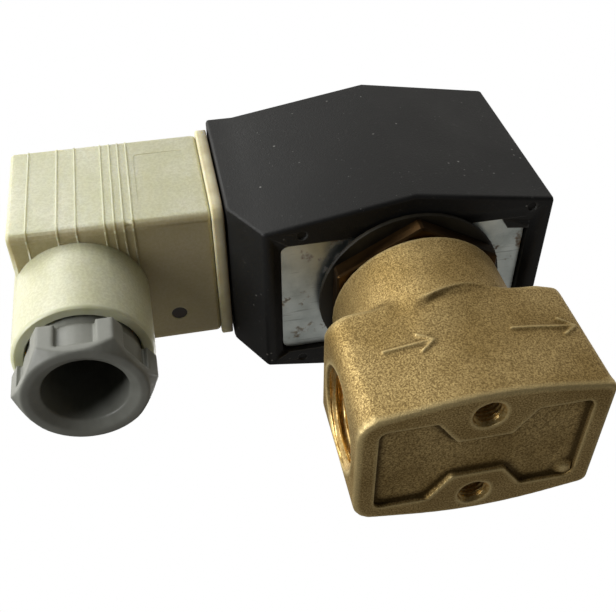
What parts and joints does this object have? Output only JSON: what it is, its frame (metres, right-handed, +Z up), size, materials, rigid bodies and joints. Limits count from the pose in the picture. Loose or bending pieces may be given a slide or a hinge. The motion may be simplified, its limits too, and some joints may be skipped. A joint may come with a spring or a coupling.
{
  "type": "solenoid valve",
  "caption": "Direct-acting two-port solenoid valve: forged brass body with threaded ports, moulded coil on a guide tube, and a translucent plug connector with a cable gland.",
  "frame": {"origin": "middle of the whole object's plan, on the plane of the valve's base", "axes": "+Z up along the guide tube, +X towards the outlet port, the plug connector on the -X side; Y across"},
  "size_m": [0.0974, 0.0412, 0.0866],
  "materials": {
    "forged_brass": "shot-blasted forging, machined faces",
    "turned_brass": "turned, light tool marks",
    "stainless": "drawn and polished",
    "soft_iron": "turned, nickel flash",
    "copper": "enamelled copper",
    "spring_steel": "drawn stainless wire",
    "zinc_plate": "zinc plated, scratched, a little rust",
    "tinned_brass": "tinned",
    "black_rubber": "moulded",
    "black_polyamide": "moulded, fine spark-eroded grain, dusty",
    "bobbin_white": "moulded",
    "clear_polyamide": "translucent, yellowed, moulded",
    "clear_silicone": "translucent, yellowed",
    "grey_polyamide": "moulded, satin",
    "terminal_black": "moulded",
    "board_green": "coated circuit board",
    "lamp_red": "diffused lamp body",
    "silver_label": "blank foil label"
  },
  "bodies": {
    "body": {"valve_body": "forged_brass", "body_o_ring": "black_rubber", "bonnet": "turned_brass", "guide_tube": "stainless", "fixed_core": "soft_iron", "shading_ring": "copper", "plunger_spring": "spring_steel", "coil_gasket": "black_rubber", "top_washer": "zinc_plate", "top_nut": "zinc_plate"},
    "plunger": {"plunger": "soft_iron", "plunger_seal": "black_rubber"},
    "coil": {"coil_shell": "black_polyamide", "nameplate": "silver_label", "yoke_plate": "zinc_plate", "yoke_frame": "zinc_plate", "bobbin": "bobbin_white", "winding": "copper", "terminal_base": "black_polyamide", "line_blade": "tinned_brass", "neutral_blade": "tinned_brass", "earth_blade": "tinned_brass", "screw_insert": "turned_brass"},
    "connector": {"connector_housing": "clear_polyamide", "connector_gasket": "clear_silicone", "terminal_block": "terminal_black", "line_contact": "turned_brass", "neutral_contact": "turned_brass", "earth_contact": "turned_brass", "line_screw": "zinc_plate", "neutral_screw": "zinc_plate", "earth_screw": "zinc_plate", "fixing_screw": "zinc_plate", "screw_seal": "black_rubber", "lamp_board": "board_green", "indicator_lamp": "lamp_red", "gland_grommet": "black_rubber"},
    "gland_washer": {"gland_washer": "grey_polyamide"},
    "gland_nut": {"gland_nut": "grey_polyamide"}
  },
  "joints": [
    {"name": "plunger_lift", "type": "slide", "parent": "body", "child": "plunger", "axis": [0, 0, 1], "range_m": [0, 0.0025], "stiffness_N_per_m": 400, "springref_m": -0.003, "deforming": ["plunger_spring"]},
    {"name": "coil_swivel", "type": "hinge", "parent": "body", "child": "coil", "pos_m": [0.02271, 0, 0.05965], "axis": [0, 0, 1], "continuous": true},
    {"name": "connector_plug", "type": "slide", "parent": "coil", "child": "connector", "axis": [-1, 0, 0], "range_m": [0, 0.02]},
    {"name": "gland_turn", "type": "hinge", "parent": "gland_washer", "child": "gland_nut", "pos_m": [-0.03659, 0, 0.0245], "axis": [0, 0, -1], "range_deg": [0, 722]},
    {"name": "gland_travel", "type": "slide", "parent": "connector", "child": "gland_washer", "axis": [0, 0, -1], "range_m": [0, 0.003]}
  ],
  "couplings": [
    {"joint": "gland_turn", "follows": "gland_travel", "rad_per_m": 4188.8}
  ]
}
